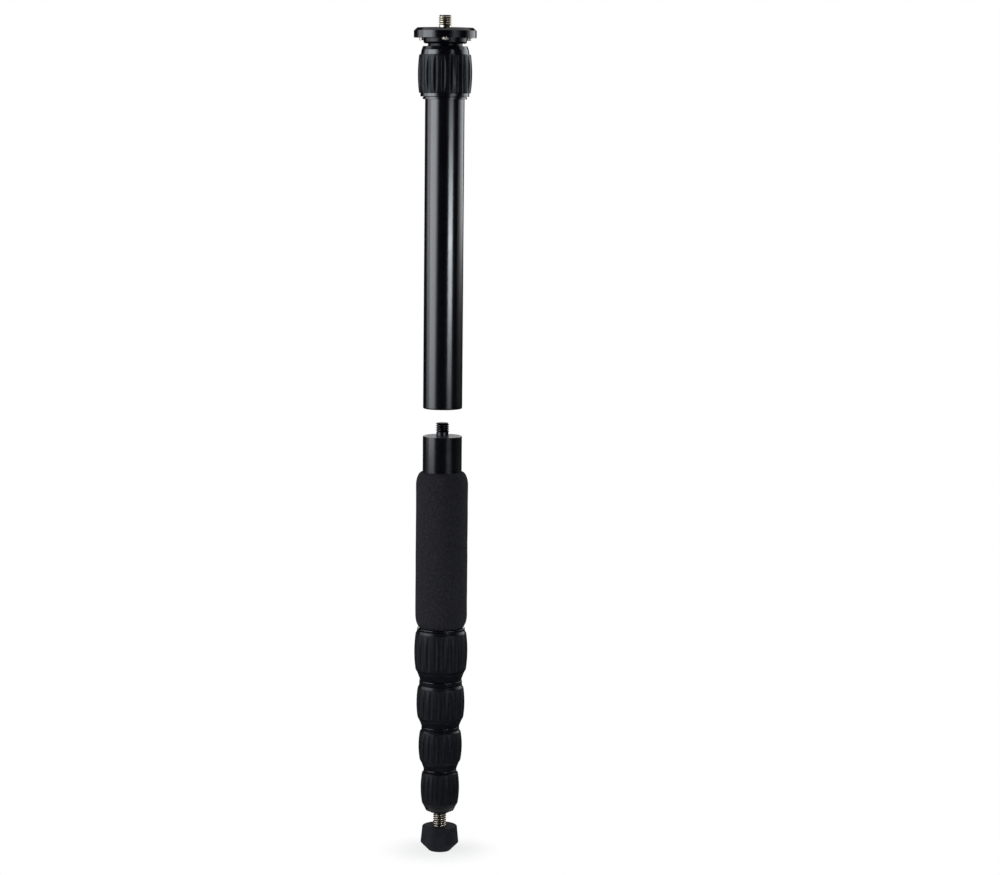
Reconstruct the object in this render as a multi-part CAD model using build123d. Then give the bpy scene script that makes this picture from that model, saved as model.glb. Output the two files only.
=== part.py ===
from build123d import *
from dataclasses import dataclass
from math import pi
import os

# A one-legged camera support: a leg of five tube sections with twist locks, and a centre column
# with its own lock and a head platform, lifted off the leg's joining stud.
# Sizes are in millimetres. +Z runs up the axis, and the origin is under the middle of the foot.

# Angles in degrees, counted from +X
front_angle = -90
quarter_turn = 90

# Tubes, which step down in size from the leg's first section
largest_tube_radius = 14.0
tube_radius_step = 1.75
tube_wall = 1.2

# Studs with the 3/8 inch camera thread
stud_radius = 4.7625
stud_neck_radius = 4.35

# Clearances
sliding_clearance = 0.06
shim_clearance = 0.05
bond_clearance = 0.05
thread_clearance = 0.1
cone_clearance = 0.1
face_gap = 0.3
nest_gap = 2.0

# Leg locks, listed from the widest at the top to the narrowest by the foot. Each grip has come to
# rest at its own turn, in degrees.
leg_skirt_lengths = [5.4, 4.1, 4.5, 3.2]
leg_skirt_walls = [2.6, 3.05, 3.0, 3.1]
leg_grip_lengths = [28.75, 24.2, 23.15, 24.45]
leg_lip_lengths = [2.2, 2.2, 1.4, 0.7]
leg_ring_lengths = [1.3, 2.95, 2.0, 1.45]
leg_grip_turns = [-4.5, 0, -5.5, 4.5]
leg_grip_chamfer = 2.4
leg_seam_rise = 0.6
leg_lip_root_rise = 1.75
leg_lip_top_rise = 0.85
leg_flange_rise = 3.2

# Column lock, which is the same kind of lock turned upside down
column_skirt_length = 5.8
column_skirt_wall = 3.5
column_bevel_depth = 2.5
column_bevel_drop = 0.56
column_grip_length = 26.95
column_grip_turn = -4
column_lip_length = 2.5
column_ring_length = 1.55
column_seam_rise = 0.96
column_lip_rise = 1.0
column_flange_rise = 1.65

# Parts common to every lock
thread_ring_wall = 1.1
thread_ring_setback = 0.8
collar_wall = 1.1
tube_end_depth = 12.0
mouth_clearance = 0.45
wiper_height = 2.0
wiper_depth = 1.8
wiper_lip_height = 0.8
mouth_land = 1.2
cone_start = 4.4
cone_foot_rise = 1.0
cone_top_rise = 0.4
collet_foot = 4.8
collet_reach = 12.0
collet_slits = 6
collet_slit_width = 0.8
collet_slit_length = 15.0

# Fluted rubber grips
grip_end_thickness = 1.95
grip_bulge = 0.95
flute_count = 22
flute_share = 0.8

# Guide shims on the hidden end of each sliding tube
shim_length = 16.0
shim_setback = 1.0
shim_split = 1.5
shim_peg_radius = 1.5

# Leg, from the foot up
foot_height = 18.2
foot_tread_radius = 7.6
foot_widest_radius = 13.75
foot_widest_level = 6.2
foot_top_radius = 12.55
foot_tread_round = 1.2
foot_widest_round = 1.0
foot_top_round = 0.8
foot_rod_clearance = 0.35
foot_rod_exposed = 10.3
foot_raise = 9.0
insert_radius = 8.5
insert_bottom = 4.5
insert_length = 10.0
spike_recess = 2.5
spike_cone_length = 9.0
spike_tip_radius = 0.8
spike_hole_clearance = 0.25
foot_plug_exposed = 1.45
foot_plug_flange = 1.2
foot_plug_reach = 18.0
foot_rod_reach = 12.0
foam_length = 113.2
foam_radius = 18.7
foam_rim = 0.3
foam_shoulder_length = 9.8
leg_tube_exposed = 25.9
leg_tube_edge = 0.3
top_plug_length = 14.0
stud_neck_length = 2.9
stud_thread_length = 6.4
stud_reach = 12.0
stud_point = 0.6

# Column, from its open socket up
column_lift_gap = 10.4
column_tube_exposed = 219.35
column_tube_round = 0.9
end_plug_length = 17.0
socket_depth = 14.5
socket_lead_in = 0.5
neck_exposed = 1.85
head_flange_radius = 15.4
head_flange_length = 4.0
head_flange_round = 1.4
head_plug_reach = 18.0
head_screw_reach = 10.0
head_screw_length = 8.9
head_screw_point = 0.8
head_screw_neck_length = 1.5
platform_radius = 22.2
platform_thickness = 7.1
platform_chamfer = 2.1
grub_screw_count = 3
grub_screw_radius = 2.5
grub_circle_radius = 18.6
grub_screw_length = 7.0
grub_screw_exposed = 1.6
grub_screw_edge = 0.3


@dataclass
class Lock:
    """A twist lock, measured from its open mouth towards the tube that carries it."""

    mouth: float
    flipped: bool
    outer_radius: float
    inner_radius: float
    skirt_length: float
    skirt_wall: float
    grip_length: float
    grip_turn: float
    grip_chamfer: float
    lip_length: float
    ring_length: float
    seam_rise: float
    lip_root_rise: float
    lip_top_rise: float
    flange_rise: float
    skirt_bevel: tuple

    @property
    def bore_radius(self):
        return self.outer_radius + thread_ring_wall + thread_clearance

    @property
    def seat_radius(self):
        return self.bore_radius + collar_wall

    @property
    def grip_top(self):
        return self.skirt_length + self.grip_length

    @property
    def lip_top(self):
        return self.grip_top + self.lip_length

    @property
    def ring_top(self):
        return self.lip_top + face_gap + self.ring_length

    @property
    def mouth_radius(self):
        return self.inner_radius + mouth_clearance

    @property
    def groove_radius(self):
        return self.inner_radius + wiper_depth

    @property
    def cone_foot_radius(self):
        return self.inner_radius + cone_foot_rise

    @property
    def cone_top_radius(self):
        return self.outer_radius + cone_top_rise

    def level(self, depth):
        """Height above the ground of a point at this depth inside the mouth."""
        return self.mouth - depth if self.flipped else self.mouth + depth

    def place(self, shape):
        """Move a shape from the lock's own frame, with its mouth at zero, to its place."""
        turn = Rot(180, 0, 0) if self.flipped else Rot(0, 0, 0)
        return Pos(0, 0, self.mouth) * turn * shape


def turned(outline):
    """A solid turned about the Z axis from an outline of radius and height."""
    return revolve(Plane.XZ * make_face(outline), Axis.Z)


def turned_corners(*corners):
    """A turned solid whose outline has straight sides between its corners."""
    return turned(Polyline(*corners, close=True))


def sleeve(inner, outer, bottom, top):
    return turned_corners((inner, bottom), (outer, bottom), (outer, top), (inner, top))


def rod(radius, bottom, top):
    return Pos(0, 0, bottom) * Cylinder(radius, top - bottom, align=(Align.CENTER, Align.CENTER, Align.MIN))


def circles_at(shape, radius, level):
    """The circular edges of a shape at one radius and height."""
    return shape.edges().filter_by(
        lambda edge: edge.geom_type == GeomType.CIRCLE
        and abs(edge.radius - radius) < 1e-4
        and abs(edge.arc_center.Z - level) < 1e-4
    )


def tube_radius(section):
    """Outer radius of a tube section, counted from 1 at the top of the leg."""
    return largest_tube_radius - (section - 1) * tube_radius_step


def skirt_outline(lock):
    """The skirt's outside, from the mouth to the seam where the rubber grip starts."""
    seam_radius = lock.seat_radius + lock.seam_rise
    bevels = [(seam_radius - drop, depth) for drop, depth in lock.skirt_bevel]
    return [(lock.inner_radius + lock.skirt_wall, 0), *bevels, (seam_radius, lock.skirt_length)]


def lock_collar(lock):
    """The turning sleeve: a skirt with a wiper groove, an inner cone and a threaded bore."""
    groove_top = mouth_land + wiper_height
    outline = [
        (lock.mouth_radius, 0),
        *skirt_outline(lock),
        (lock.seat_radius, lock.skirt_length),
        (lock.seat_radius, lock.grip_top),
        (lock.seat_radius + lock.lip_root_rise, lock.grip_top),
        (lock.seat_radius + lock.lip_top_rise, lock.lip_top),
        (lock.bore_radius, lock.lip_top),
        (lock.bore_radius, tube_end_depth),
        (lock.cone_top_radius, tube_end_depth),
        (lock.cone_foot_radius, cone_start),
        (lock.mouth_radius, cone_start),
        (lock.mouth_radius, groove_top),
        (lock.groove_radius, groove_top),
        (lock.groove_radius, mouth_land),
        (lock.mouth_radius, mouth_land),
    ]
    return lock.place(turned_corners(*outline))


def lock_grip(lock):
    """A rubber barrel on the collar, with upright flutes that run out at its ends."""
    end_radius = lock.seat_radius + grip_end_thickness
    middle_radius = end_radius + grip_bulge
    bottom, top = lock.skirt_length + lock.grip_chamfer, lock.grip_top
    corners = [(end_radius, top), (lock.seat_radius, top), (lock.seat_radius, lock.skirt_length)]
    if lock.grip_chamfer:
        corners.append((lock.seat_radius + lock.seam_rise, lock.skirt_length))
    corners.append((end_radius, bottom))
    bulge = ThreePointArc((end_radius, bottom), (middle_radius, (bottom + top) / 2), (end_radius, top))
    barrel = turned(Polyline(*corners) + bulge)

    width = flute_share * 2 * pi * middle_radius / flute_count
    cutter_radius = 1 / (8 * grip_bulge / width**2 - 1 / middle_radius)
    cutter = rod(cutter_radius, bottom, top)
    flutes = PolarLocations(end_radius + cutter_radius, flute_count, start_angle=lock.grip_turn) * cutter
    return lock.place(barrel - flutes)


def wiper(lock):
    """A rubber ring in the mouth's groove that keeps grit off the sliding tube."""
    lip_radius = lock.inner_radius + sliding_clearance
    ring = turned_corners(
        (lock.mouth_radius, mouth_land),
        (lock.groove_radius, mouth_land),
        (lock.groove_radius, mouth_land + wiper_height),
        (lip_radius, mouth_land + wiper_height),
        (lip_radius, mouth_land + wiper_height - wiper_lip_height),
    )
    return lock.place(ring)


def thread_ring(lock):
    """The threaded ring bonded to the carrying tube, with a flange above the collar's lip."""
    barrel_radius = lock.outer_radius + thread_ring_wall
    flange_radius = lock.outer_radius + lock.flange_rise
    flange_bottom = lock.lip_top + face_gap
    ring = turned_corners(
        (lock.outer_radius, tube_end_depth + thread_ring_setback),
        (barrel_radius, tube_end_depth + thread_ring_setback),
        (barrel_radius, flange_bottom),
        (flange_radius, flange_bottom),
        (flange_radius, lock.ring_top),
        (lock.outer_radius, lock.ring_top),
    )
    return lock.place(ring)


def collet(lock):
    """A slit, tapered bush in the end of the carrying tube that the collar's cone closes."""
    inside = lock.inner_radius + sliding_clearance
    tube_bore = lock.outer_radius - tube_wall - shim_clearance
    slope = (lock.cone_top_radius - lock.cone_foot_radius) / (tube_end_depth - cone_start)
    foot_radius = lock.cone_foot_radius + slope * (collet_foot - cone_start) - cone_clearance
    bush = turned_corners(
        (inside, collet_foot),
        (foot_radius, collet_foot),
        (lock.cone_top_radius - cone_clearance, tube_end_depth),
        (tube_bore, tube_end_depth),
        (tube_bore, tube_end_depth + collet_reach),
        (inside, tube_end_depth + collet_reach),
    )
    slit = Pos(0, 0, collet_foot) * Box(
        2 * lock.bore_radius,
        collet_slit_width,
        collet_slit_length,
        align=(Align.MIN, Align.CENTER, Align.MIN),
    )
    return lock.place(bush - PolarLocations(0, collet_slits) * slit)


def plain_tube(radius, bottom, top):
    return sleeve(radius - tube_wall, radius, bottom, top)


def peg_bar(radius, level):
    """A bar across a tube: it cuts the holes for the shims' pegs, and its ends are the pegs."""
    return Pos(0, 0, level) * Rot(0, 90, 0) * Cylinder(shim_peg_radius, 2 * radius)


def guide_shims(radius, low_end, high_end):
    """Two half-round guides on a tube's outside, each held by a peg through the tube wall."""
    outer = radius + tube_radius_step - tube_wall - shim_clearance
    middle = (low_end + high_end) / 2
    split = Pos(0, 0, middle) * Box(shim_split, 2 * outer, high_end - low_end)
    pegs = peg_bar(radius, middle) - rod(radius - tube_wall, low_end, high_end)
    return sleeve(radius, outer, low_end, high_end) - split + pegs


def leg_locks():
    """The leg's four locks from the top one down, stacked upwards from the foot."""
    mouth = foot_height + foot_rod_exposed + foot_plug_exposed
    locks = []
    for stage in reversed(range(len(leg_skirt_lengths))):
        lock = Lock(
            mouth=mouth,
            flipped=False,
            outer_radius=tube_radius(stage + 1),
            inner_radius=tube_radius(stage + 2),
            skirt_length=leg_skirt_lengths[stage],
            skirt_wall=leg_skirt_walls[stage],
            grip_length=leg_grip_lengths[stage],
            grip_turn=leg_grip_turns[stage],
            grip_chamfer=leg_grip_chamfer,
            lip_length=leg_lip_lengths[stage],
            ring_length=leg_ring_lengths[stage],
            seam_rise=leg_seam_rise,
            lip_root_rise=leg_lip_root_rise,
            lip_top_rise=leg_lip_top_rise,
            flange_rise=leg_flange_rise,
            skirt_bevel=(),
        )
        locks.insert(0, lock)
        mouth = lock.level(lock.ring_top) + face_gap
    return locks


def column_lock(ring_bottom):
    """The column's lock, whose mouth opens upwards."""
    height = column_ring_length + face_gap + column_lip_length + column_grip_length + column_skirt_length
    return Lock(
        mouth=ring_bottom + height,
        flipped=True,
        outer_radius=tube_radius(1),
        inner_radius=tube_radius(2),
        skirt_length=column_skirt_length,
        skirt_wall=column_skirt_wall,
        grip_length=column_grip_length,
        grip_turn=column_grip_turn,
        grip_chamfer=0,
        lip_length=column_lip_length,
        ring_length=column_ring_length,
        seam_rise=column_seam_rise,
        lip_root_rise=column_lip_rise,
        lip_top_rise=column_lip_rise,
        flange_rise=column_flange_rise,
        skirt_bevel=((column_bevel_drop, column_bevel_depth),),
    )


def rubber_foot():
    """A tapered rubber foot around its threaded insert, with a hole below for the spike."""
    rod_hole = stud_radius + foot_rod_clearance
    slope = (stud_radius - spike_tip_radius) / spike_cone_length
    spike_at_tread = spike_tip_radius + slope * (foot_raise - spike_recess)
    tread_hole = spike_at_tread + spike_hole_clearance
    cone_top = (rod_hole - tread_hole) / slope
    pocket_radius = insert_radius + sliding_clearance
    pocket_bottom = insert_bottom - sliding_clearance
    pocket_top = insert_bottom + insert_length + sliding_clearance
    foot = turned_corners(
        (tread_hole, 0),
        (foot_tread_radius, 0),
        (foot_widest_radius, foot_widest_level),
        (foot_top_radius, foot_height),
        (rod_hole, foot_height),
        (rod_hole, pocket_top),
        (pocket_radius, pocket_top),
        (pocket_radius, pocket_bottom),
        (rod_hole, pocket_bottom),
        (rod_hole, cone_top),
    )
    foot = fillet(circles_at(foot, foot_widest_radius, foot_widest_level), foot_widest_round)
    foot = fillet(circles_at(foot, foot_top_radius, foot_height), foot_top_round)
    return fillet(circles_at(foot, foot_tread_radius, 0), foot_tread_round)


def foot_insert():
    insert_top = insert_bottom + insert_length
    return sleeve(stud_radius + sliding_clearance, insert_radius, insert_bottom, insert_top)


def foot_spike(plug_bottom):
    """The foot's threaded rod, pointed below and screwed into the end of the last tube."""
    cone_top = spike_recess + spike_cone_length
    rod_top = plug_bottom + foot_rod_reach
    return turned_corners(
        (0, spike_recess),
        (spike_tip_radius, spike_recess),
        (stud_radius, cone_top),
        (stud_radius, rod_top),
        (0, rod_top),
    )


def foot_plug(plug_bottom):
    """The plug that closes the last tube and holds the foot's rod."""
    last_radius = tube_radius(len(leg_skirt_lengths) + 1)
    flange_top = plug_bottom + foot_plug_flange
    plug = turned_corners(
        (0, plug_bottom),
        (last_radius, plug_bottom),
        (last_radius, flange_top),
        (last_radius - tube_wall, flange_top),
        (last_radius - tube_wall, plug_bottom + foot_plug_reach),
        (0, plug_bottom + foot_plug_reach),
    )
    return plug - rod(stud_radius, plug_bottom, plug_bottom + foot_rod_reach)


def foam_grip(bottom):
    """A foam sleeve on the leg's first tube, with elliptical shoulders."""
    top = bottom + foam_length
    rim_radius = tube_radius(1) + foam_rim
    width, height = foam_radius - rim_radius, foam_shoulder_length
    low, high = bottom + height, top - height
    low_shoulder = EllipticalCenterArc((rim_radius, low), width, height, -quarter_turn, arc_size=quarter_turn)
    high_shoulder = EllipticalCenterArc((rim_radius, high), width, height, 0, arc_size=quarter_turn)
    side = Line((foam_radius, low), (foam_radius, high))
    back = Polyline(
        (rim_radius, top), (tube_radius(1), top), (tube_radius(1), bottom), (rim_radius, bottom)
    )
    return turned(high_shoulder + back + low_shoulder + side)


def joining_stud(leg_top):
    """The stud that the column screws onto, with a plain neck where it leaves the plug."""
    neck_top = leg_top + stud_neck_length
    stud_top = neck_top + stud_thread_length
    return turned_corners(
        (0, leg_top - stud_reach),
        (stud_radius, leg_top - stud_reach),
        (stud_radius, leg_top),
        (stud_neck_radius, leg_top),
        (stud_neck_radius, neck_top),
        (stud_radius, neck_top),
        (stud_radius, stud_top - stud_point),
        (stud_radius - stud_point, stud_top),
        (0, stud_top),
    )


def top_plug(leg_top):
    plug = rod(tube_radius(1) - tube_wall, leg_top - top_plug_length, leg_top)
    return plug - rod(stud_radius, leg_top - stud_reach, leg_top)


def column_end_plug(column_bottom):
    """The plug in the column's lower end, with the blind socket for the joining stud."""
    radius = tube_radius(1) - tube_wall - bond_clearance
    socket_radius = stud_radius + sliding_clearance
    plug = rod(radius, column_bottom, column_bottom + end_plug_length)
    socket = rod(socket_radius, column_bottom, column_bottom + socket_depth)
    lead_in = turned_corners(
        (0, column_bottom),
        (socket_radius + socket_lead_in, column_bottom),
        (socket_radius, column_bottom + socket_lead_in),
        (0, column_bottom + socket_lead_in),
    )
    return plug - socket - lead_in


def column_tube(bottom, top):
    tube = plain_tube(tube_radius(1), bottom, top)
    return fillet(circles_at(tube, tube_radius(1), bottom), column_tube_round)


def head_plug(flange_bottom):
    """The plug that closes the inner column tube, with the flange under the platform."""
    flange_top = flange_bottom + head_flange_length
    spigot_radius = tube_radius(2) - tube_wall
    plug = turned_corners(
        (0, flange_bottom - head_plug_reach),
        (spigot_radius, flange_bottom - head_plug_reach),
        (spigot_radius, flange_bottom),
        (head_flange_radius, flange_bottom),
        (head_flange_radius, flange_top),
        (0, flange_top),
    )
    plug = fillet(circles_at(plug, head_flange_radius, flange_bottom), head_flange_round)
    return plug - rod(stud_radius, flange_top - head_screw_reach, flange_top)


def head_platform(bottom):
    """The disc that the head stands on, drilled for the head screw and the grub screws."""
    disc = rod(platform_radius, bottom, bottom + platform_thickness)
    disc = chamfer(circles_at(disc, platform_radius, bottom + platform_thickness), platform_chamfer)
    screw_hole = rod(stud_radius, bottom, bottom + platform_thickness)
    grub_hole = rod(grub_screw_radius, bottom, bottom + platform_thickness)
    return disc - screw_hole - grub_screw_places() * grub_hole


def grub_screw_places():
    """Places for the grub screws, the first at the front."""
    return PolarLocations(grub_circle_radius, grub_screw_count, start_angle=front_angle)


def grub_screws(platform_bottom):
    """The screws that come up under the platform to lock the head against turning."""
    low = platform_bottom - grub_screw_exposed
    screw = rod(grub_screw_radius, low, low + grub_screw_length)
    screw = chamfer(screw.edges().filter_by(GeomType.CIRCLE), grub_screw_edge)
    return Compound(children=[place * screw for place in grub_screw_places()])


def head_screw(platform_bottom):
    """The stud that the head screws onto."""
    platform_top = platform_bottom + platform_thickness
    neck_top = platform_top + head_screw_neck_length
    screw_top = platform_top + head_screw_length
    return turned_corners(
        (0, platform_bottom - head_screw_reach),
        (stud_radius, platform_bottom - head_screw_reach),
        (stud_radius, platform_top),
        (stud_neck_radius, platform_top),
        (stud_neck_radius, neck_top),
        (stud_radius, neck_top),
        (stud_radius, screw_top - head_screw_point),
        (stud_radius - head_screw_point, screw_top),
        (0, screw_top),
    )


def lock_parts(lock, name_pattern):
    """The five pieces of a lock, each under its own name."""
    makers = {
        "thread_ring": thread_ring,
        "collet": collet,
        "lock_collar": lock_collar,
        "lock_grip": lock_grip,
        "wiper": wiper,
    }
    return {name_pattern.format(piece): make(lock) for piece, make in makers.items()}


def leg_parts():
    """Every piece of the leg, and the level of its top end."""
    locks = leg_locks()
    foam_bottom = locks[0].level(locks[0].ring_top)
    leg_top = foam_bottom + foam_length + leg_tube_exposed
    plug_bottom = foot_height + foot_rod_exposed
    nest_top = leg_top - top_plug_length - nest_gap

    first_tube = plain_tube(tube_radius(1), locks[0].level(tube_end_depth), leg_top)
    parts = {
        "joining_stud": joining_stud(leg_top),
        "top_plug": top_plug(leg_top),
        "section_1_tube": chamfer(circles_at(first_tube, tube_radius(1), leg_top), leg_tube_edge),
        "foam_grip": foam_grip(foam_bottom),
        "foot_plug": foot_plug(plug_bottom),
        "foot_spike": foot_spike(plug_bottom),
        "foot_insert": foot_insert(),
        "rubber_foot": rubber_foot(),
    }
    lower_ends = [lock.level(tube_end_depth) for lock in locks[1:]]
    lower_ends.append(plug_bottom + foot_plug_flange)
    shim_top = nest_top - shim_setback
    for section, lower_end in enumerate(lower_ends, start=2):
        radius = tube_radius(section)
        bar = peg_bar(radius, shim_top - shim_length / 2)
        parts[f"section_{section}_tube"] = plain_tube(radius, lower_end, nest_top) - bar
        parts[f"guide_shims_{section}"] = guide_shims(radius, shim_top - shim_length, shim_top)
    for number, lock in enumerate(locks, start=1):
        parts.update(lock_parts(lock, "{}_" + str(number)))
    return parts, leg_top


def column_parts(leg_top):
    """Every piece of the column, which hangs above the leg's stud."""
    column_bottom = leg_top + stud_neck_length + stud_thread_length + column_lift_gap
    lock = column_lock(column_bottom + column_tube_exposed)
    flange_bottom = lock.mouth + neck_exposed
    platform_bottom = flange_bottom + head_flange_length
    inner_bottom = column_bottom + end_plug_length + nest_gap
    shim_bottom = inner_bottom + shim_setback
    radius = tube_radius(2)
    bar = peg_bar(radius, shim_bottom + shim_length / 2)
    parts = {
        "column_end_plug": column_end_plug(column_bottom),
        "column_tube": column_tube(column_bottom, lock.level(tube_end_depth)),
        "inner_column_tube": plain_tube(radius, inner_bottom, flange_bottom) - bar,
        "column_guide_shims": guide_shims(radius, shim_bottom, shim_bottom + shim_length),
        "head_plug": head_plug(flange_bottom),
        "head_platform": head_platform(platform_bottom),
        "head_screw": head_screw(platform_bottom),
        "platform_grub_screws": grub_screws(platform_bottom),
    }
    parts.update(lock_parts(lock, "column_{}"))
    return parts


leg, top_of_leg = leg_parts()
column = column_parts(top_of_leg)

os.makedirs("parts", exist_ok=True)
for node, shape in {**leg, **column}.items():
    export_step(shape, f"parts/{node}.step")
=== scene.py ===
import math

import bpy
from mathutils import Matrix, Vector, noise


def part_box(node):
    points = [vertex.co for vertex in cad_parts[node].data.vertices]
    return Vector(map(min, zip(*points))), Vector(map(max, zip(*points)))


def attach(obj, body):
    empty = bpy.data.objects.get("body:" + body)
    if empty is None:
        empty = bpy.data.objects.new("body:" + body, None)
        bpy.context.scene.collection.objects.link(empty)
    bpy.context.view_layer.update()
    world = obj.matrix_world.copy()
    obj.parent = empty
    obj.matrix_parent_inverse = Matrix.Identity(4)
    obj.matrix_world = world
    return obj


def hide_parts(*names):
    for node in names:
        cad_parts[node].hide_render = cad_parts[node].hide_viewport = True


# The looks of a one-legged camera support: a leg of five tubes with twist locks, and its centre
# column lifted off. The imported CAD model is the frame, and all sizes here are in metres.

MM = 0.001

# The camera, fitted to the photograph's rims
FOCAL_LENGTH_MM = 103.57
SENSOR_WIDTH_MM = 36.0
CAMERA_DISTANCE = 2.045
CAMERA_HEIGHT = 0.5388
CAMERA_PITCH = math.radians(6.6)
CAMERA_YAW = math.radians(1.155)
CAMERA_ROLL = math.radians(0.55)
CAMERA_NEAR = 0.01
CAMERA_FAR = 100.0

# The lamps. Azimuths are degrees to the right of the camera, as seen from above. Each lamp points
# at a height on the object's axis.
LAMP_DISTANCE = 2.3
LAMP_TARGET_HEIGHT = 0.32
LEFT_TINT = (0.88, 0.92, 1)
RIGHT_TINT = (0.88, 0.94, 1)
LAMPS = {
    "left_softbox": dict(azimuth=-75, height=0.8, width=3.4, length=1.6, watts=31, tint=LEFT_TINT),
    "left_softbox_core": dict(azimuth=-68, height=0.8, width=1.7, length=1.6, watts=29, tint=LEFT_TINT),
    "right_lamp": dict(azimuth=38.5, height=0.33, width=1.0, length=0.12, watts=12, tint=RIGHT_TINT),
    "upper_right_lamp": dict(azimuth=36, height=1.25, width=0.5, length=0.3, watts=1.3, tint=RIGHT_TINT),
    "low_right_lamp": dict(
        azimuth=40, height=0.155, width=0.26, length=0.07, watts=0.2, tint=RIGHT_TINT,
        distance=0.3, target_height=0.02,
    ),
    "right_rear_softbox": dict(azimuth=122, height=0.9, width=1.7, length=1.2, watts=13, tint=RIGHT_TINT),
}

# Black screens that only show in reflections. Each sweeps from one azimuth to another, and its
# upright section's corners are (distance, height). The step is in degrees.
SCREEN_DISTANCE = 3.2
SCREEN_BOTTOM = -3.0
SCREEN_TOP = 3.5
SCREEN_STEP = 6
ROOF_EDGE = (0.6, SCREEN_TOP)
WALL = [(SCREEN_DISTANCE, SCREEN_BOTTOM), (SCREEN_DISTANCE, SCREEN_TOP)]
UPPER_WALL = [(SCREEN_DISTANCE, 1.85), (SCREEN_DISTANCE, SCREEN_TOP)]
FLOOR_CLOTH = [(0.05, 0.001), (SCREEN_DISTANCE, 0.001), (SCREEN_DISTANCE, 0.25)]
SCREENS = {
    "low_screen": dict(start=-180, end=180, section=FLOOR_CLOTH),
    "front_screen": dict(start=-36, end=88, section=[*WALL, ROOF_EDGE]),
    "left_upper_screen": dict(start=-84, end=-36, section=[*UPPER_WALL, ROOF_EDGE]),
    "left_rear_screen": dict(start=-168, end=-120, section=WALL),
    "right_rear_screen": dict(start=144, end=168, section=WALL),
}

# The white backdrop and the floor, which is clear except for the shadow round the foot
ROOM_FILL = 0.13
FLOOR_RADIUS = 12.0
FLOOR_COLOUR = (0.82, 0.82, 0.82)
SHADOW_INNER_RADIUS = 0.012
SHADOW_OUTER_RADIUS = 0.05
CLEAR_SHARE_AT_FOOT = 0.8
SEEN_RAYS = ["Is Camera Ray", "Is Glossy Ray", "Is Transmission Ray"]
FLOOR_CLEAR_RAYS = [*SEEN_RAYS, "Is Shadow Ray"]

# Threads: camera threads are 3/8 inch with 16 turns to the inch, and the grub screws are M5
STUD_RADIUS = 4.7625 * MM
CAMERA_THREAD_PITCH = 25.4 * MM / 16
GRUB_THREAD_PITCH = 0.8 * MM
THREAD_DEPTH_SHARE = 0.64
THREAD_ROOT_SHARE = 0.12
THREAD_CREST_SHARE = 0.2
ROWS_PER_TURN = 12
THREAD_SEGMENTS = 64

# The camera studs. Each has a chamfered tip, and over its seat a plain neck that starts with a
# sharp step and runs out into the thread.
STUD_NECK_RADIUS = 4.35 * MM
STUD_NECK_STEP = 0.001 * MM
STUD_NECK_RUNOUT = 0.3 * MM
STUDS = {
    "head_screw": dict(
        body="column_inner", slot="browned_steel", seat="head_platform",
        neck_length=1.5 * MM, chamfer=0.8 * MM,
    ),
    "joining_stud": dict(
        body="leg_top", slot="black_steel", seat="top_plug",
        neck_length=2.9 * MM, chamfer=0.6 * MM,
    ),
}

# The foot's rod ends in a spike
SPIKE_TIP_RADIUS = 0.8 * MM
SPIKE_LENGTH = 9 * MM

# The grub screws under the platform
GRUB_COUNT = 3
GRUB_FIRST_ANGLE = math.radians(-90)
GRUB_RADIUS = 2.5 * MM
GRUB_CHAMFER = 0.3 * MM
GRUB_SOCKET_WIDTH = 2.5 * MM
GRUB_SOCKET_DEPTH = 1.8 * MM

# The foam grip. Its wobble grows from nothing at the bore to its full depth at the wobble's reach,
# and the shift makes it run mostly inwards.
FOAM_SHOULDER = 9.8 * MM
FOAM_RIM = 0.3 * MM
FOAM_BORE_CLEARANCE = 0.02 * MM
FOAM_WOBBLE = 0.12 * MM
FOAM_WOBBLE_REACH = 4.5 * MM
FOAM_WOBBLE_LUMPS = 90
FOAM_WOBBLE_SHIFT = -0.5
FOAM_SEGMENTS = 128
FOAM_SHOULDER_STEPS = 14
FOAM_SIDE_ROWS = 60

# Smooth shading breaks at edges sharper than this
SHARP_EDGE_ANGLE = math.radians(75)

# The rays that look for edges and hollows round a point
NEARBY_SAMPLES = 8

# A face whose normal points up by more than this share is a stud's flat end, free of painted shade
FLAT_END_NORMAL = 0.95

# The middle values of a noise, over which roughness and colour run from one end to the other
NOISE_SPAN = (0.3, 0.7)
MOTTLE_SPAN = (0.35, 0.65)

# Black finishes that differ only in their tones and gloss
ANODISED_FINISHES = {
    "anodised": dict(specular=0.6, low_roughness=0.17, high_roughness=0.2),
    "dull_anodised": dict(specular=0.19, low_roughness=0.22, high_roughness=0.27),
    "neck_anodised": dict(specular=0.13, low_roughness=0.22, high_roughness=0.27),
    "leg_anodised": dict(specular=0.66, low_roughness=0.13, high_roughness=0.16),
    "glossy_anodised": dict(specular=0.7, low_roughness=0.08, high_roughness=0.12),
}
RUBBER_FINISHES = {
    "grip_rubber": dict(
        dark=(0.003, 0.0031, 0.005), light=(0.0048, 0.005, 0.0078),
        low_roughness=0.45, high_roughness=0.6, specular=0.145,
    ),
    "column_rubber": dict(
        dark=(0.002, 0.0024, 0.004), light=(0.0036, 0.0042, 0.0066),
        low_roughness=0.27, high_roughness=0.34, specular=0.17,
    ),
    "foot_rubber": dict(
        dark=(0.0118, 0.012, 0.015), light=(0.017, 0.0174, 0.0216),
        low_roughness=0.5, high_roughness=0.7, specular=0.03,
    ),
}
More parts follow.
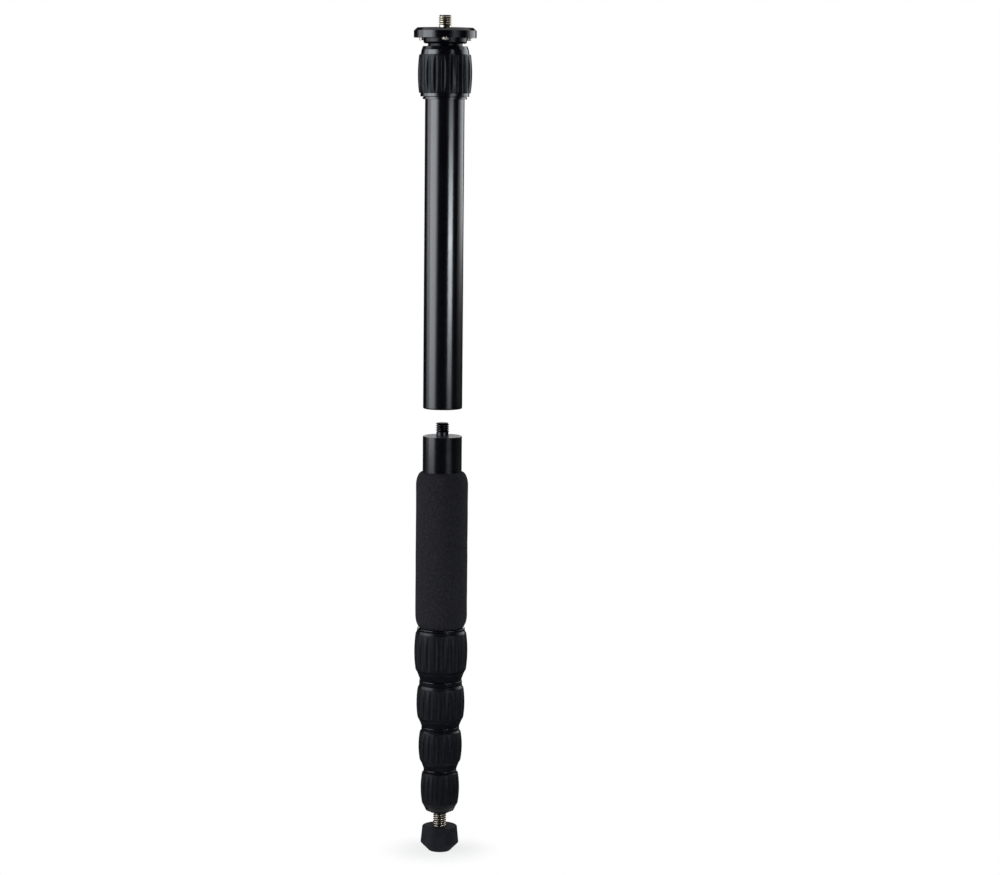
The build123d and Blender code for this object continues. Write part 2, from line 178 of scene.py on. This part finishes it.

# The threaded studs' steels. A root shade is shade painted into the colour towards the thread's
# roots, and an edge shade darkens the reflections at a glancing angle.
STUD_FINISHES = {
    "black_steel": dict(
        name="oxide_steel", dark=(0.045, 0.044, 0.048), light=(0.075, 0.073, 0.08),
        low_roughness=0.24, high_roughness=0.36, root_shade=0.1, edge_shade=0.2,
    ),
    "browned_steel": dict(
        name="browned_steel", dark=(0.82, 0.73, 0.58), light=(0.96, 0.88, 0.74),
        low_roughness=0.18, high_roughness=0.28, root_shade=0.02,
    ),
    "stainless": dict(
        name="stainless_steel", dark=(0.5, 0.45, 0.38), light=(0.64, 0.57, 0.49),
        low_roughness=0.2, high_roughness=0.34, root_shade=0.1,
    ),
}

# The numbers of the leg's locks
LEG_LOCKS = range(1, 5)

# Nodes whose finish differs from the rest of their material slot
NODE_FINISHES = {
    "head_plug": "dull_anodised",
    "inner_column_tube": "neck_anodised",
    "column_lock_grip": "column_rubber",
    "section_1_tube": "leg_anodised",
} | {f"thread_ring_{number}": "glossy_anodised" for number in LEG_LOCKS}

scene = bpy.context.scene
scene.view_settings.view_transform = "Standard"


def add_camera():
    """The photograph's viewpoint, a little lower than the platform and looking slightly down."""
    data = bpy.data.cameras.new("camera")
    data.sensor_width = SENSOR_WIDTH_MM
    data.lens = FOCAL_LENGTH_MM
    data.clip_start = CAMERA_NEAR
    data.clip_end = CAMERA_FAR
    camera = bpy.data.objects.new("camera", data)
    camera.location = (0, -CAMERA_DISTANCE, CAMERA_HEIGHT)
    turn = Matrix.Rotation(-CAMERA_YAW, 3, "Z")
    tilt = Matrix.Rotation(math.pi / 2 - CAMERA_PITCH, 3, "X")
    roll = Matrix.Rotation(CAMERA_ROLL, 3, "Z")
    camera.rotation_euler = (turn @ tilt @ roll).to_euler()
    scene.collection.objects.link(camera)
    scene.camera = camera


def around(azimuth, distance, height):
    """A place in the studio, from its azimuth in degrees."""
    angle = math.radians(azimuth)
    return Vector((distance * math.sin(angle), -distance * math.cos(angle), height))


def add_lamp(
    name, azimuth, height, width, length, watts, tint,
    distance=LAMP_DISTANCE, target_height=LAMP_TARGET_HEIGHT,
):
    """An area lamp that points at the object's axis, with its length upright."""
    data = bpy.data.lights.new(name, "AREA")
    data.shape = "RECTANGLE"
    data.size = width
    data.size_y = length
    data.energy = watts
    data.color = tint
    lamp = bpy.data.objects.new(name, data)
    lamp.location = around(azimuth, distance, height)
    target = Vector((0, 0, target_height))
    lamp.rotation_euler = (target - lamp.location).to_track_quat("-Z", "Y").to_euler()
    lamp.visible_camera = False
    scene.collection.objects.link(lamp)


def add_screen(name, cloth, start, end, section):
    """A black screen, as studios set beside glossy things. It casts no shadow."""
    steps = round((end - start) / SCREEN_STEP)
    points = []
    for step in range(steps + 1):
        azimuth = start + (end - start) * step / steps
        points += [around(azimuth, distance, height) for distance, height in section]
    corners = len(section)
    faces = []
    for step in range(steps):
        for corner in range(corners - 1):
            here = step * corners + corner
            faces.append((here, here + corners, here + corners + 1, here + 1))
    screen = mesh_object(name, points, faces)
    screen.data.materials.append(cloth)
    screen.visible_camera = False
    screen.visible_diffuse = False
    screen.visible_shadow = False
    screen.visible_transmission = False


def ray_mask(tree, rays):
    """1 for rays of the named kinds, and 0 for all others."""
    path = tree.nodes.new("ShaderNodeLightPath")
    mask = path.outputs[rays[0]]
    for ray in rays[1:]:
        either = tree.nodes.new("ShaderNodeMath")
        either.operation = "MAXIMUM"
        tree.links.new(mask, either.inputs[0])
        tree.links.new(path.outputs[ray], either.inputs[1])
        mask = either.outputs[0]
    return mask


def light_world():
    """A white backdrop all round, which adds only a little fill light."""
    world = bpy.data.worlds.new("studio")
    scene.world = world
    world.use_nodes = True
    tree = world.node_tree
    tree.nodes.clear()
    fill = tree.nodes.new("ShaderNodeBackground")
    fill.inputs["Strength"].default_value = ROOM_FILL
    white = tree.nodes.new("ShaderNodeBackground")
    for background in (fill, white):
        background.inputs["Color"].default_value = (1, 1, 1, 1)
    mix = tree.nodes.new("ShaderNodeMixShader")
    output = tree.nodes.new("ShaderNodeOutputWorld")
    tree.links.new(ray_mask(tree, SEEN_RAYS), mix.inputs["Fac"])
    tree.links.new(fill.outputs[0], mix.inputs[1])
    tree.links.new(white.outputs[0], mix.inputs[2])
    tree.links.new(mix.outputs[0], output.inputs["Surface"])


def floor_material():
    """A floor that keeps the object's shadow near the foot and bounces light up.

    Elsewhere the white backdrop shows through it, and so does a leg pulled out below the foot's level.
    """
    material = bpy.data.materials.new("floor_white")
    material.use_nodes = True
    tree = material.node_tree
    tree.nodes.clear()
    card = tree.nodes.new("ShaderNodeBsdfDiffuse")
    card.inputs["Color"].default_value = (*FLOOR_COLOUR, 1)
    clear = tree.nodes.new("ShaderNodeBsdfTransparent")
    place = tree.nodes.new("ShaderNodeTexCoord")
    away = tree.nodes.new("ShaderNodeVectorMath")
    away.operation = "LENGTH"
    tree.links.new(place.outputs["Object"], away.inputs[0])
    share = tree.nodes.new("ShaderNodeMapRange")
    share.interpolation_type = "SMOOTHSTEP"
    share.inputs["From Min"].default_value = SHADOW_INNER_RADIUS
    share.inputs["From Max"].default_value = SHADOW_OUTER_RADIUS
    share.inputs["To Min"].default_value = CLEAR_SHARE_AT_FOOT
    tree.links.new(away.outputs["Value"], share.inputs["Value"])
    fac = tree.nodes.new("ShaderNodeMath")
    fac.operation = "MULTIPLY"
    tree.links.new(share.outputs[0], fac.inputs[0])
    tree.links.new(ray_mask(tree, FLOOR_CLEAR_RAYS), fac.inputs[1])
    mix = tree.nodes.new("ShaderNodeMixShader")
    output = tree.nodes.new("ShaderNodeOutputMaterial")
    tree.links.new(fac.outputs[0], mix.inputs["Fac"])
    tree.links.new(card.outputs[0], mix.inputs[1])
    tree.links.new(clear.outputs[0], mix.inputs[2])
    tree.links.new(mix.outputs[0], output.inputs["Surface"])
    return material


def add_floor():
    reach = FLOOR_RADIUS
    corners = [(-reach, -reach, 0), (reach, -reach, 0), (reach, reach, 0), (-reach, reach, 0)]
    floor = mesh_object("floor", corners, [(0, 1, 2, 3)])
    floor.data.materials.append(floor_material())


def light_studio():
    light_world()
    add_floor()
    for name, lamp in LAMPS.items():
        add_lamp(name, **lamp)
    cloth = black_cloth()
    for name, screen in SCREENS.items():
        add_screen(name, cloth, **screen)


def principled(name, values):
    """A new material with the Principled shader's plain values set."""
    material = bpy.data.materials.new(name)
    material.use_nodes = True
    shader = material.node_tree.nodes["Principled BSDF"]
    for socket, value in values.items():
        shader.inputs[socket].default_value = value
    return material


def object_noise(tree, lumps, detail):
    """Noise fixed to the object, with a given number of lumps to the metre."""
    place = tree.nodes.new("ShaderNodeTexCoord")
    texture = tree.nodes.new("ShaderNodeTexNoise")
    texture.inputs["Scale"].default_value = lumps
    texture.inputs["Detail"].default_value = detail
    tree.links.new(place.outputs["Object"], texture.inputs["Vector"])
    return texture.outputs["Fac"]


def map_range(tree, value, low, high, span=NOISE_SPAN):
    """Stretches a span of a value over the range from low to high."""
    node = tree.nodes.new("ShaderNodeMapRange")
    node.inputs["From Min"].default_value = span[0]
    node.inputs["From Max"].default_value = span[1]
    node.inputs["To Min"].default_value = low
    node.inputs["To Max"].default_value = high
    tree.links.new(value, node.inputs["Value"])
    return node.outputs[0]


def vary_roughness(material, low, high, lumps):
    """Varies the roughness between two values."""
    tree = material.node_tree
    roughness = tree.nodes["Principled BSDF"].inputs["Roughness"]
    tree.links.new(map_range(tree, object_noise(tree, lumps, detail=3), low, high), roughness)


def vary_colour(material, dark, light, lumps, detail=4):
    """Mottles the base colour between two tones."""
    tree = material.node_tree
    ramp = tree.nodes.new("ShaderNodeValToRGB")
    for element, position, tone in zip(ramp.color_ramp.elements, MOTTLE_SPAN, (dark, light)):
        element.position = position
        element.color = (*tone, 1)
    tree.links.new(object_noise(tree, lumps, detail), ramp.inputs["Fac"])
    tree.links.new(ramp.outputs["Color"], tree.nodes["Principled BSDF"].inputs["Base Color"])


def add_bump(material, height_output, depth):
    """Bump whose full height is the given depth, in metres, on top of any bump already there."""
    tree = material.node_tree
    shader = tree.nodes["Principled BSDF"]
    bump = tree.nodes.new("ShaderNodeBump")
    bump.inputs["Distance"].default_value = depth
    tree.links.new(height_output, bump.inputs["Height"])
    if shader.inputs["Normal"].is_linked:
        under = shader.inputs["Normal"].links[0].from_socket
        tree.links.new(under, bump.inputs["Normal"])
    tree.links.new(bump.outputs["Normal"], shader.inputs["Normal"])


def add_grain(material, lumps, depth, detail=3):
    add_bump(material, object_noise(material.node_tree, lumps, detail), depth)


def soften_edges(material, radius):
    """Rounds the shading over sharp edges, as machining and moulding leave them. Comes before bump."""
    tree = material.node_tree
    bevel = tree.nodes.new("ShaderNodeBevel")
    bevel.samples = NEARBY_SAMPLES
    bevel.inputs["Radius"].default_value = radius
    tree.links.new(bevel.outputs["Normal"], tree.nodes["Principled BSDF"].inputs["Normal"])


def axis_distance(tree):
    """How far the shaded point lies from the object's upright axis."""
    place = tree.nodes.new("ShaderNodeTexCoord")
    flat = tree.nodes.new("ShaderNodeVectorMath")
    flat.operation = "MULTIPLY"
    flat.inputs[1].default_value = (1, 1, 0)
    tree.links.new(place.outputs["Object"], flat.inputs[0])
    away = tree.nodes.new("ShaderNodeVectorMath")
    away.operation = "LENGTH"
    tree.links.new(flat.outputs["Vector"], away.inputs[0])
    return away.outputs["Value"]


def scale_colour(tree, share):
    """Multiplies the base colour by a value."""
    base = tree.nodes["Principled BSDF"].inputs["Base Color"]
    scaled = tree.nodes.new("ShaderNodeVectorMath")
    scaled.operation = "SCALE"
    tree.links.new(base.links[0].from_socket, scaled.inputs[0])
    tree.links.new(share, scaled.inputs["Scale"])
    tree.links.new(scaled.outputs["Vector"], base)


def paint_hollow_shade(material, reach, hollow_openness, shade):
    """Paints shade into colour and gloss in hollows, from how open the surface is over a short reach."""
    tree = material.node_tree
    gloss = tree.nodes["Principled BSDF"].inputs["Specular IOR Level"]
    around_point = tree.nodes.new("ShaderNodeAmbientOcclusion")
    around_point.samples = NEARBY_SAMPLES
    around_point.only_local = True
    around_point.inputs["Distance"].default_value = reach
    kept = map_range(tree, around_point.outputs["AO"], shade, 1, span=(hollow_openness, 1))
    scale_colour(tree, kept)
    scaled = tree.nodes.new("ShaderNodeMath")
    scaled.operation = "MULTIPLY"
    scaled.inputs[1].default_value = gloss.default_value
    tree.links.new(kept, scaled.inputs[0])
    tree.links.new(scaled.outputs[0], gloss)


def paint_root_shade(material, root_shade):
    """Paints shade into a camera stud's colour towards the roots of its thread, where little light
    reaches.
    """
    tree = material.node_tree
    root_radius = STUD_RADIUS - THREAD_DEPTH_SHARE * CAMERA_THREAD_PITCH
    shade = map_range(tree, axis_distance(tree), root_shade, 1, span=(root_radius, STUD_RADIUS))
    facing = tree.nodes.new("ShaderNodeSeparateXYZ")
    tree.links.new(tree.nodes.new("ShaderNodeNewGeometry").outputs["True Normal"], facing.inputs[0])
    flat_end = tree.nodes.new("ShaderNodeMath")
    flat_end.operation = "GREATER_THAN"
    flat_end.inputs[1].default_value = FLAT_END_NORMAL
    tree.links.new(facing.outputs["Z"], flat_end.inputs[0])
    kept = tree.nodes.new("ShaderNodeMath")
    kept.operation = "MAXIMUM"
    tree.links.new(shade, kept.inputs[0])
    tree.links.new(flat_end.outputs[0], kept.inputs[1])
    # The painted shade stays off the stud's flat ends
    scale_colour(tree, kept.outputs[0])


def turned_rings(tree, pitch):
    """A wave in the distance from the axis, as a lathe tool leaves on a face."""
    phase = tree.nodes.new("ShaderNodeMath")
    phase.operation = "MULTIPLY"
    phase.inputs[1].default_value = 2 * math.pi / pitch
    tree.links.new(axis_distance(tree), phase.inputs[0])
    wave = tree.nodes.new("ShaderNodeMath")
    wave.operation = "SINE"
    tree.links.new(phase.outputs[0], wave.inputs[0])
    return wave.outputs[0]


def open_cells(tree, lumps, wall_distance):
    """0 in the middle of each cell, rising to 1 at a distance from it that is counted in cells."""
    place = tree.nodes.new("ShaderNodeTexCoord")
    cells = tree.nodes.new("ShaderNodeTexVoronoi")
    cells.inputs["Scale"].default_value = lumps
    tree.links.new(place.outputs["Object"], cells.inputs["Vector"])
    return map_range(tree, cells.outputs["Distance"], 0, 1, span=(0, wall_distance))


def black_cloth():
    """The studio screens' matt cloth."""
    return principled("black_cloth", {"Base Color": (0.01, 0.01, 0.01, 1), "Roughness": 0.9})


def anodised_metal(name, specular, low_roughness, high_roughness):
    """Black anodised aluminium, faintly mottled."""
    metal = principled(name, {"Specular IOR Level": specular})
    vary_colour(metal, dark=(0.0018, 0.0017, 0.0031), light=(0.0026, 0.0025, 0.0045), lumps=90)
    vary_roughness(metal, low_roughness, high_roughness, lumps=60)
    soften_edges(metal, radius=0.35 * MM)
    return metal


def satin_metal():
    """The platform's softer satin black."""
    metal = principled("satin_black", {"Specular IOR Level": 0.45})
    vary_colour(metal, dark=(0.0012, 0.0012, 0.0025), light=(0.002, 0.002, 0.0036), lumps=120)
    vary_roughness(metal, low=0.16, high=0.2, lumps=500)
    return metal


def moulded_plastic():
    """Black plastic, as the leg's collars are moulded from."""
    plastic = principled("collar_black", {"Specular IOR Level": 0.16})
    vary_colour(plastic, dark=(0.0045, 0.0045, 0.0068), light=(0.0068, 0.0068, 0.01), lumps=200)
    vary_roughness(plastic, low=0.2, high=0.28, lumps=600)
    soften_edges(plastic, radius=0.45 * MM)
    add_grain(plastic, lumps=3000, depth=0.015 * MM)
    return plastic


def turned_metal():
    """The plug's end, with the rings that turning leaves."""
    metal = principled("turned_plug_face", {"Specular IOR Level": 0.6})
    vary_colour(metal, dark=(0.024, 0.025, 0.029), light=(0.036, 0.037, 0.042), lumps=300)
    vary_roughness(metal, low=0.3, high=0.42, lumps=700)
    add_bump(metal, turned_rings(metal.node_tree, pitch=0.35 * MM), depth=0.006 * MM)
    add_grain(metal, lumps=3000, depth=0.004 * MM)
    return metal


def moulded_rubber(name, dark, light, low_roughness, high_roughness, specular):
    """Black rubber with a fine moulded grain."""
    rubber = principled(name, {"Specular IOR Level": specular})
    vary_colour(rubber, dark, light, lumps=160)
    vary_roughness(rubber, low_roughness, high_roughness, lumps=420)
    add_grain(rubber, lumps=2600, depth=0.03 * MM, detail=4)
    return rubber


def shade_column_rubber(rubber):
    """The column grip's rubber shines a little colder, and its flutes get painted shade."""
    rubber.node_tree.nodes["Principled BSDF"].inputs["Specular Tint"].default_value = (0.86, 0.98, 1, 1)
    paint_hollow_shade(rubber, reach=2.5 * MM, hollow_openness=0.91, shade=0.05)


def cell_foam():
    """Closed-cell foam: matt, softly mottled, with small open pores."""
    foam = principled("foam_black", {"Roughness": 0.95, "Specular IOR Level": 0.22})
    dark, light = (0.0086, 0.0082, 0.0106), (0.0173, 0.0165, 0.0202)
    vary_colour(foam, dark, light, lumps=700, detail=6)
    add_bump(foam, open_cells(foam.node_tree, lumps=2200, wall_distance=0.45), depth=0.12 * MM)
    add_grain(foam, lumps=350, depth=0.25 * MM, detail=5)
    return foam


def stud_steel(name, dark, light, low_roughness, high_roughness, root_shade, edge_shade=1):
    """Steel for a threaded rod on the axis, with painted shade in its thread roots."""
    edge = (edge_shade, edge_shade, edge_shade, 1)
    steel = principled(name, {"Metallic": 1, "Specular Tint": edge})
    vary_colour(steel, dark, light, lumps=800)
    vary_roughness(steel, low_roughness, high_roughness, lumps=1400)
    paint_root_shade(steel, root_shade)
    return steel


def bright_steel():
    """Plain bright steel for the small screws."""
    steel = principled("screw_steel", {"Metallic": 1})
    vary_colour(steel, dark=(0.84, 0.79, 0.72), light=(0.94, 0.9, 0.84), lumps=900)
    vary_roughness(steel, low=0.22, high=0.34, lumps=1400)
    return steel


def brass():
    metal = principled("brass_insert", {"Metallic": 1})
    vary_colour(metal, dark=(0.5, 0.36, 0.14), light=(0.68, 0.52, 0.24), lumps=500)
    vary_roughness(metal, low=0.28, high=0.45, lumps=900)
    return metal


def nylon():
    plastic = principled("white_nylon", {"Subsurface Weight": 0.05})
    vary_colour(plastic, dark=(0.66, 0.65, 0.6), light=(0.74, 0.73, 0.69), lumps=300)
    vary_roughness(plastic, low=0.38, high=0.52, lumps=800)
    add_grain(plastic, lumps=2500, depth=0.01 * MM)
    return plastic


def make_finishes():
    """One material for each of the record's slots, and those that single nodes have instead."""
    finishes = {
        "satin_platform": satin_metal(),
        "collar_plastic": moulded_plastic(),
        "turned_plug": turned_metal(),
        "foam": cell_foam(),
        "grub_steel": bright_steel(),
        "brass": brass(),
        "nylon": nylon(),
    }
    for name, values in ANODISED_FINISHES.items():
        finishes[name] = anodised_metal(f"{name}_black", **values)
    for name, values in RUBBER_FINISHES.items():
        finishes[name] = moulded_rubber(f"{name}_black", **values)
    for name, values in STUD_FINISHES.items():
        finishes[name] = stud_steel(**values)
    shade_column_rubber(finishes["column_rubber"])
    return finishes


def mesh_object(name, points, faces, smooth=False):
    """A mesh in the scene. Where it is smooth, faces with more than four sides stay flat."""
    mesh = bpy.data.meshes.new(name)
    mesh.from_pydata([tuple(point) for point in points], [], faces)
    mesh.update()
    made = bpy.data.objects.new(name, mesh)
    scene.collection.objects.link(made)
    if smooth:
        mesh.shade_smooth()
        mesh.set_sharp_from_angle(angle=SHARP_EDGE_ANGLE)
        for face in mesh.polygons:
            face.use_smooth = len(face.vertices) == 4
    return made


def on_circle(radius, angle):
    return radius * math.cos(angle), radius * math.sin(angle)


def grid_faces(rows, columns):
    """Quads of a grid whose rows are closed rings, wound to face outwards."""
    faces = []
    for row in range(rows - 1):
        for column in range(columns):
            after = (column + 1) % columns
            low, high = row * columns, (row + 1) * columns
            faces.append((low + column, low + after, high + after, high + column))
    return faces


def add_piece(name, points, faces, node, body, material):
    """A made piece that stands for a CAD node and rides on its body."""
    piece = mesh_object(name, points, faces, smooth=True)
    piece.data.materials.append(material)
    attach(piece, body)
    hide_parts(node)
    return piece


def limit_at(outline, level):
    """The outline's radius at a level, from its (level, radius) corners, lowest first.

    Rounding can put the last row just past the last corner, whose radius it then takes.
    """
    for (low, low_radius), (high, high_radius) in zip(outline, outline[1:]):
        if low <= level <= high:
            return low_radius + (high_radius - low_radius) * (level - low) / (high - low)
    return outline[-1][1]


def thread_height(level, angle, pitch):
    """0 at the thread's root and 1 at its crest, on a right-hand helix."""
    phase = (level / pitch - angle / (2 * math.pi)) % 1
    height = abs(2 * phase - 1)
    rise = 1 - THREAD_ROOT_SHARE - THREAD_CREST_SHARE
    return min(max((height - THREAD_ROOT_SHARE) / rise, 0), 1)


def threaded_rod(centre, outline, pitch, neck=None, closed_bottom=True):
    """Points and faces of an upright rod with a helical thread.

    The outline's corners are (level, radius), lowest first. The neck is a span of levels without thread.
    """
    depth = THREAD_DEPTH_SHARE * pitch
    bottom, top = outline[0][0], outline[-1][0]
    row_count = round((top - bottom) / pitch * ROWS_PER_TURN)
    levels = {bottom + (top - bottom) * row / row_count for row in range(row_count + 1)}
    levels = sorted(levels | {level for level, radius in outline})
    full_radius = max(radius for level, radius in outline)
    points = []
    for level in levels:
        limit = limit_at(outline, level)
        plain = neck and neck[0] <= level <= neck[1]
        for step in range(THREAD_SEGMENTS):
            angle = 2 * math.pi * step / THREAD_SEGMENTS
            cut = full_radius - depth * (1 - thread_height(level, angle, pitch))
            x, y = on_circle(limit if plain else min(limit, cut), angle)
            points.append((centre[0] + x, centre[1] + y, level))
    faces = grid_faces(len(levels), THREAD_SEGMENTS)
    if closed_bottom:
        faces.append(tuple(reversed(range(THREAD_SEGMENTS))))
    last = (len(levels) - 1) * THREAD_SEGMENTS
    faces.append(tuple(last + step for step in range(THREAD_SEGMENTS)))
    return points, faces


def add_stud(node, material, body, slot, seat, neck_length, chamfer):
    """A camera stud with a real thread, whose neck starts at the top of the piece that it sits in."""
    low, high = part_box(node)
    radius = high[0]
    seat_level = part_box(seat)[1][2]
    neck = (seat_level - STUD_NECK_STEP, seat_level + neck_length)
    outline = [
        (low[2], radius),
        (neck[0], radius),
        (neck[0] + STUD_NECK_STEP, STUD_NECK_RADIUS),
        (neck[1], STUD_NECK_RADIUS),
        (neck[1] + STUD_NECK_RUNOUT, radius),
        (high[2] - chamfer, radius),
        (high[2], radius - chamfer),
    ]
    points, faces = threaded_rod((0, 0), outline, CAMERA_THREAD_PITCH, neck)
    add_piece(f"{node}_threaded", points, faces, node, body, material)


def add_foot_rod(material):
    """The foot's threaded rod, tapered to a spike at its lower end."""
    low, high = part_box("foot_spike")
    radius = high[0]
    outline = [(low[2], SPIKE_TIP_RADIUS), (low[2] + SPIKE_LENGTH, radius), (high[2], radius)]
    points, faces = threaded_rod((0, 0), outline, CAMERA_THREAD_PITCH)
    add_piece("foot_spike_threaded", points, faces, "foot_spike", "section_5", material)


def foam_outline():
    """The foam's outer half section as (level, radius), with elliptical shoulders."""
    low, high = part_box("foam_grip")
    radius = high[0]
    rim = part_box("section_1_tube")[1][0] + FOAM_RIM
    top = []
    for step in range(FOAM_SHOULDER_STEPS + 1):
        share, rise = on_circle(1, math.pi / 2 * step / FOAM_SHOULDER_STEPS)
        top.append((high[2] - FOAM_SHOULDER * (1 - rise), rim + (radius - rim) * share))
    bottom = [(low[2] + high[2] - level, ring) for level, ring in reversed(top)]
    side_start, side_end = bottom[-1][0], top[0][0]
    side = []
    for row in range(1, FOAM_SIDE_ROWS):
        side.append((side_start + (side_end - side_start) * row / FOAM_SIDE_ROWS, radius))
    return bottom + side + top


def add_foam(material):
    """The foam sleeve, very slightly uneven, as cut foam is."""
    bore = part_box("section_1_tube")[1][0] + FOAM_BORE_CLEARANCE
    outline = foam_outline()
    rows = [(outline[0][0], bore)] + outline + [(outline[-1][0], bore)]
    points = []
    for level, radius in rows:
        for step in range(FOAM_SEGMENTS):
            angle = 2 * math.pi * step / FOAM_SEGMENTS
            place = Vector((*on_circle(radius, angle), level))
            wobble = noise.noise(place * FOAM_WOBBLE_LUMPS) + FOAM_WOBBLE_SHIFT
            ring = radius + FOAM_WOBBLE * wobble * (radius - bore) / FOAM_WOBBLE_REACH
            points.append((*on_circle(ring, angle), level))
    faces = grid_faces(len(rows), FOAM_SEGMENTS)
    last = (len(rows) - 1) * FOAM_SEGMENTS
    for step in range(FOAM_SEGMENTS):
        after = (step + 1) % FOAM_SEGMENTS
        faces.append((last + step, last + after, after, step))
    foam = add_piece("foam_sleeve", points, faces, "foam_grip", "leg_top", material)


def hexagon_ring(across_flats, segments):
    """Points evenly round a hexagon, one for each segment of the circle outside it."""
    ring = []
    for step in range(segments):
        angle = 2 * math.pi * step / segments
        nearest_flat = (angle + math.pi / 6) % (math.pi / 3) - math.pi / 6
        ring.append(on_circle(across_flats / 2 / math.cos(nearest_flat), angle))
    return ring


def socket_screw(centre, bottom, top):
    """Points and faces of a grub screw with a hexagon socket in its lower end."""
    outline = [
        (bottom, GRUB_RADIUS - GRUB_CHAMFER),
        (bottom + GRUB_CHAMFER, GRUB_RADIUS),
        (top - GRUB_CHAMFER, GRUB_RADIUS),
        (top, GRUB_RADIUS - GRUB_CHAMFER),
    ]
    points, faces = threaded_rod(centre, outline, GRUB_THREAD_PITCH, closed_bottom=False)
    mouth = len(points)
    deep = mouth + THREAD_SEGMENTS
    hexagon = hexagon_ring(GRUB_SOCKET_WIDTH, THREAD_SEGMENTS)
    for level in (bottom, bottom + GRUB_SOCKET_DEPTH):
        points += [(centre[0] + x, centre[1] + y, level) for x, y in hexagon]
    for step in range(THREAD_SEGMENTS):
        after = (step + 1) % THREAD_SEGMENTS
        faces.append((after, step, mouth + step, mouth + after))
        faces.append((mouth + after, mouth + step, deep + step, deep + after))
    faces.append(tuple(deep + step for step in reversed(range(THREAD_SEGMENTS))))
    return points, faces


def add_grub_screws(material):
    """The grub screws round the platform, in one mesh."""
    node = "platform_grub_screws"
    low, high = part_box(node)
    screw_circle = -low[1] - GRUB_RADIUS
    points, faces = [], []
    for number in range(GRUB_COUNT):
        angle = GRUB_FIRST_ANGLE + 2 * math.pi * number / GRUB_COUNT
        screw_points, screw_faces = socket_screw(on_circle(screw_circle, angle), low[2], high[2])
        first = len(points)
        points += screw_points
        faces += [tuple(first + corner for corner in face) for face in screw_faces]
    add_piece("grub_screws_threaded", points, faces, node, "column_inner", material)


def dress_cad_nodes(nodes, finishes):
    """Gives each CAD node the finish of its material slot, or the one kept for that node."""
    for name, node in nodes.items():
        for slot in node.material_slots:
            slot.material = finishes[NODE_FINISHES.get(name, slot.material.name)]


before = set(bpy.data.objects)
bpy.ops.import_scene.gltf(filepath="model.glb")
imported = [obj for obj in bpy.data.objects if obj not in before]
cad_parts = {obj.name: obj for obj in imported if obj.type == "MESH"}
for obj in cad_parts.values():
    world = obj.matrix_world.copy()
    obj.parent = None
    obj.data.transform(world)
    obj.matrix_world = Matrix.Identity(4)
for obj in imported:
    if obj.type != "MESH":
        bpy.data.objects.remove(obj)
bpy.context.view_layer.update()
add_camera()
light_studio()
finishes = make_finishes()
dress_cad_nodes(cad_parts, finishes)
for node, stud in STUDS.items():
    add_stud(node, finishes[stud["slot"]], **stud)
add_foot_rod(finishes["stainless"])
add_foam(finishes["foam"])
add_grub_screws(finishes["grub_steel"])
